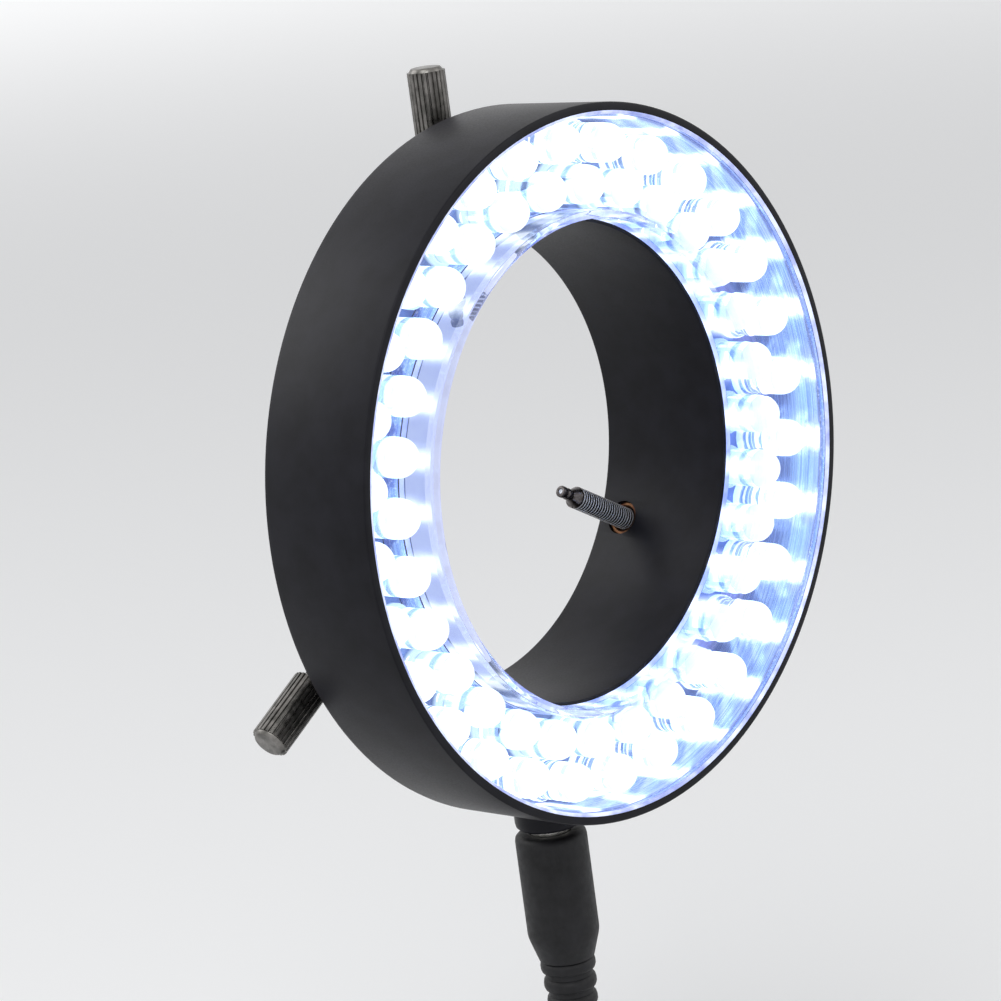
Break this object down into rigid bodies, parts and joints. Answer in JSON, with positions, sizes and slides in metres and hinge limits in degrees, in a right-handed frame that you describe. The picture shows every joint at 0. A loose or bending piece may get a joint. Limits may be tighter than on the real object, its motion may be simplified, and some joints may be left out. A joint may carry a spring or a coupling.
{
  "type": "microscope ring light",
  "caption": "Ring light for a stereo microscope: black drum with rows of clear lamps behind a clear cover, clamp collar with knurled thumb screws, and a plug-in power lead.",
  "frame": {"origin": "on the bore's axis, in the plane where the clamp collar meets the drum's back", "axes": "+Y along the bore, away from the lamps and towards the microscope; +Z towards the top thumb screw; +X to the right as seen from the lamps' side"},
  "size_m": [0.0906, 0.075, 0.1746],
  "materials": {
    "housing_black": "satin black moulding with a faint blue sheen",
    "cover_clear": "clear plastic, lightly scratched",
    "reflector_bright": "bright turned metal",
    "board_blue": "dark blue solder mask",
    "lamp_clear": "clear resin, lit cool white",
    "lead_tin": "tinned",
    "resistor_black": "fired film",
    "screw_steel": "zinc plated",
    "bush_brass": "turned brass",
    "screw_nickel": "dull nickel plate",
    "tip_dark": "blackened steel",
    "jack_black": "moulded",
    "contact_nickel": "nickel plate",
    "contact_brass": "sprung brass",
    "wire_red": "plastic insulation",
    "wire_black": "plastic insulation",
    "plug_black": "soft moulded plastic",
    "insulator_black": "moulded",
    "cord_black": "soft plastic sheath"
  },
  "bodies": {
    "ring": {"drum_housing": "housing_black", "clamp_collar": "housing_black", "front_cover": "cover_clear", "reflector_sleeve": "reflector_bright", "lamp_board": "board_blue", "inner_row_lamps": "lamp_clear", "outer_row_lamps": "lamp_clear", "inner_row_leads": "lead_tin", "outer_row_leads": "lead_tin", "board_resistors": "resistor_black", "collar_screws": "screw_steel", "bush_top": "bush_brass", "bush_right": "bush_brass", "bush_left": "bush_brass", "jack_body": "jack_black", "jack_pin": "contact_nickel", "jack_contact": "contact_brass", "wire_positive": "wire_red", "wire_negative": "wire_black", "plug_grip": "plug_black", "plug_barrel": "contact_nickel", "plug_insulator": "insulator_black", "plug_contact": "contact_brass", "plug_strain_relief": "plug_black", "cord_drop": "cord_black", "cord_coil": "cord_black", "cord_tail": "cord_black", "end_strain_relief": "plug_black", "end_plug_grip": "plug_black", "end_plug_barrel": "contact_nickel", "end_plug_insulator": "insulator_black", "end_plug_contact": "contact_brass"},
    "tip_top": {"pressure_tip_top": "tip_dark"},
    "screw_top": {"thumb_screw_top": "screw_nickel"},
    "tip_right": {"pressure_tip_right": "tip_dark"},
    "screw_right": {"thumb_screw_right": "screw_nickel"},
    "tip_left": {"pressure_tip_left": "tip_dark"},
    "screw_left": {"thumb_screw_left": "screw_nickel"}
  },
  "joints": [
    {"name": "tip_top_travel", "type": "slide", "parent": "ring", "child": "tip_top", "axis": [0, 0, 1], "range_m": [-0.006, 0.01375]},
    {"name": "screw_top_turn", "type": "hinge", "parent": "tip_top", "child": "screw_top", "pos_m": [0, 0.0065, 0], "axis": [0, 0, 1], "range_deg": [-4320, 9900]},
    {"name": "tip_right_travel", "type": "slide", "parent": "ring", "child": "tip_right", "axis": [0.866, 0, -0.5], "range_m": [-0.006, 0.01375]},
    {"name": "screw_right_turn", "type": "hinge", "parent": "tip_right", "child": "screw_right", "pos_m": [0, 0.0065, 0], "axis": [0.866, 0, -0.5], "range_deg": [-4320, 9900]},
    {"name": "tip_left_travel", "type": "slide", "parent": "ring", "child": "tip_left", "axis": [-0.866, 0, -0.5], "range_m": [-0.006, 0.01375]},
    {"name": "screw_left_turn", "type": "hinge", "parent": "tip_left", "child": "screw_left", "pos_m": [0, 0.0065, 0], "axis": [-0.866, 0, -0.5], "range_deg": [-4320, 9900]}
  ],
  "couplings": [
    {"joint": "screw_top_turn", "follows": "tip_top_travel", "rad_per_m": 12566},
    {"joint": "screw_right_turn", "follows": "tip_right_travel", "rad_per_m": 12566},
    {"joint": "screw_left_turn", "follows": "tip_left_travel", "rad_per_m": 12566}
  ]
}
